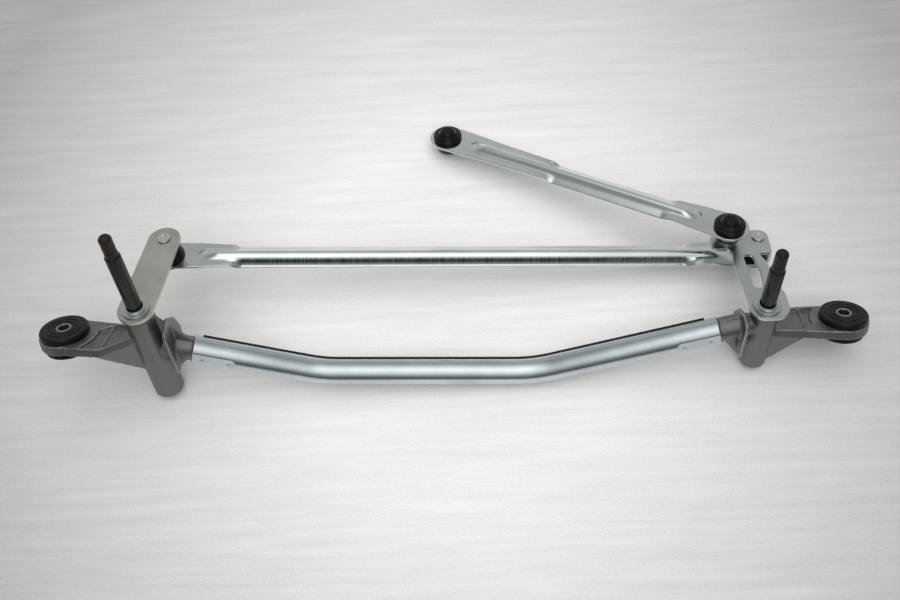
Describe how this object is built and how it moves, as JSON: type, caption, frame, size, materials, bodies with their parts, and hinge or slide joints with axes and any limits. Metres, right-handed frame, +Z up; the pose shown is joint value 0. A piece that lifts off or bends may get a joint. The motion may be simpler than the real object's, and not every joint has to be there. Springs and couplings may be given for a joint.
{
  "type": "wiper linkage",
  "caption": "Windscreen wiper linkage: a bent tube with a die-cast pivot housing at each end, spindles and cranks tied by a pressed rod, and a free drive link.",
  "frame": {"origin": "middle of the footprint's bounding box, on the surface that the linkage lies on", "axes": "+X from the left pivot to the right pivot, +Y away from the viewer towards the drive link, +Z up from the surface"},
  "size_m": [0.6772, 0.2548, 0.1783],
  "materials": {
    "zinc_plate": "bright zinc plate on pressed steel, satin",
    "tube_zinc": "zinc plated steel tube, semi-bright",
    "cast_aluminium": "die-cast aluminium, fine satin",
    "black_steel": "black phosphated steel, oiled",
    "bright_steel": "bright turned steel",
    "black_rubber": "black moulded rubber",
    "black_nylon": "black moulded nylon, semi-gloss",
    "sintered_bronze": "oil-filled sintered bronze"
  },
  "bodies": {
    "frame": {"frame_tube": "tube_zinc", "tube_strip": "black_rubber", "left_housing": "cast_aluminium", "left_grommet": "black_rubber", "left_spacer_sleeve": "bright_steel", "left_o_ring": "black_rubber", "left_upper_bush": "sintered_bronze", "left_lower_bush": "sintered_bronze", "right_housing": "cast_aluminium", "right_grommet": "black_rubber", "right_spacer_sleeve": "bright_steel", "right_o_ring": "black_rubber", "right_upper_bush": "sintered_bronze", "right_lower_bush": "sintered_bronze"},
    "left_crank": {"left_spindle": "black_steel", "left_lever": "zinc_plate", "left_lever_ring": "zinc_plate", "left_thrust_washer": "bright_steel", "left_foot_washer": "bright_steel", "left_circlip": "bright_steel", "left_ball_stud": "bright_steel"},
    "right_crank": {"right_spindle": "black_steel", "right_lever": "zinc_plate", "right_lever_ring": "zinc_plate", "right_thrust_washer": "bright_steel", "right_foot_washer": "bright_steel", "right_circlip": "bright_steel", "right_ball_stud": "bright_steel", "drive_ball_stud": "bright_steel"},
    "long_link": {"long_rod": "zinc_plate", "left_rod_socket": "black_nylon", "left_rod_cap": "black_nylon", "right_rod_socket": "black_nylon", "right_rod_cap": "black_nylon"},
    "drive_link": {"short_link": "zinc_plate", "drive_socket": "black_nylon", "drive_cap": "black_nylon", "motor_socket": "black_nylon", "motor_cap": "black_nylon"}
  },
  "joints": [
    {"name": "left_crank_turn", "type": "hinge", "parent": "frame", "child": "left_crank", "pos_m": [-0.25244, -0.07686, 0.10151], "axis": [0.0001, 0.3416, 0.9398], "range_deg": [-46, 48]},
    {"name": "right_crank_turn", "type": "hinge", "parent": "frame", "child": "right_crank", "pos_m": [0.24855, -0.08861, 0.06911], "axis": [0.0001, 0.3416, 0.9398], "range_deg": [-46, 48]},
    {"name": "long_rod_turn", "type": "hinge", "parent": "left_crank", "child": "long_link", "pos_m": [-0.24257, -0.01112, 0.05973], "axis": [0.0001, 0.3416, 0.9398], "range_deg": [-48, 46]},
    {"name": "short_link_turn", "type": "hinge", "parent": "right_crank", "child": "drive_link", "pos_m": [0.23075, -0.01546, 0.05667], "axis": [0.0001, 0.3416, 0.9398], "range_deg": [-95, 95]}
  ],
  "couplings": [
    {"joint": "right_crank_turn", "follows": "left_crank_turn", "ratio": 1},
    {"joint": "long_rod_turn", "follows": "left_crank_turn", "ratio": -1}
  ]
}
